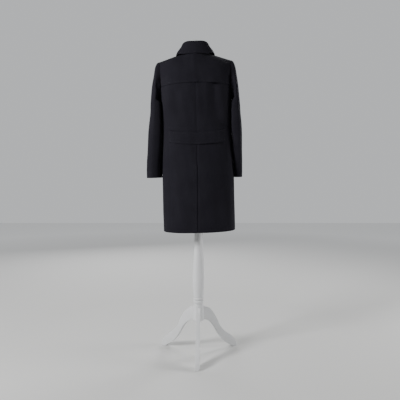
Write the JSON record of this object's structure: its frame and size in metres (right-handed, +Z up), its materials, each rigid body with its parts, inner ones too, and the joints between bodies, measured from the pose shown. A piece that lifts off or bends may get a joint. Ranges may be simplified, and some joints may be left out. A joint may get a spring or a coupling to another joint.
{
  "type": "overcoat on tripod dress form",
  "caption": "Straight knee-length overcoat with back yoke flap, half belt and vent, on a limbless dress form with a turned wooden tripod.",
  "frame": {"origin": "on the floor, under the middle of the whole part's box", "axes": "+Z up; the coat's back faces +Y and its front -Y; the wearer's left is +X"},
  "size_m": [0.5153, 0.3887, 1.6876],
  "materials": {
    "coat_cloth": "matt fine wool",
    "horn_button": "satin",
    "form_cover": "smooth jersey",
    "white_paint": "white satin paint"
  },
  "bodies": {
    "root": {"dress_form": "form_cover", "neck_cap": "white_paint", "pole": "white_paint", "hub": "white_paint", "leg_back": "white_paint", "leg_front_left": "white_paint", "leg_front_right": "white_paint", "back_left": "coat_cloth", "back_right": "coat_cloth", "side_left": "coat_cloth", "side_right": "coat_cloth", "front_left": "coat_cloth", "front_right": "coat_cloth", "top_sleeve_left": "coat_cloth", "top_sleeve_right": "coat_cloth", "under_sleeve_left": "coat_cloth", "under_sleeve_right": "coat_cloth", "collar_stand": "coat_cloth", "collar_fall": "coat_cloth", "yoke_flap": "coat_cloth", "half_belt": "coat_cloth", "pocket_welt_left": "coat_cloth", "pocket_welt_right": "coat_cloth", "button_1": "horn_button", "button_2": "horn_button", "button_3": "horn_button", "button_4": "horn_button"}
  },
  "joints": []
}
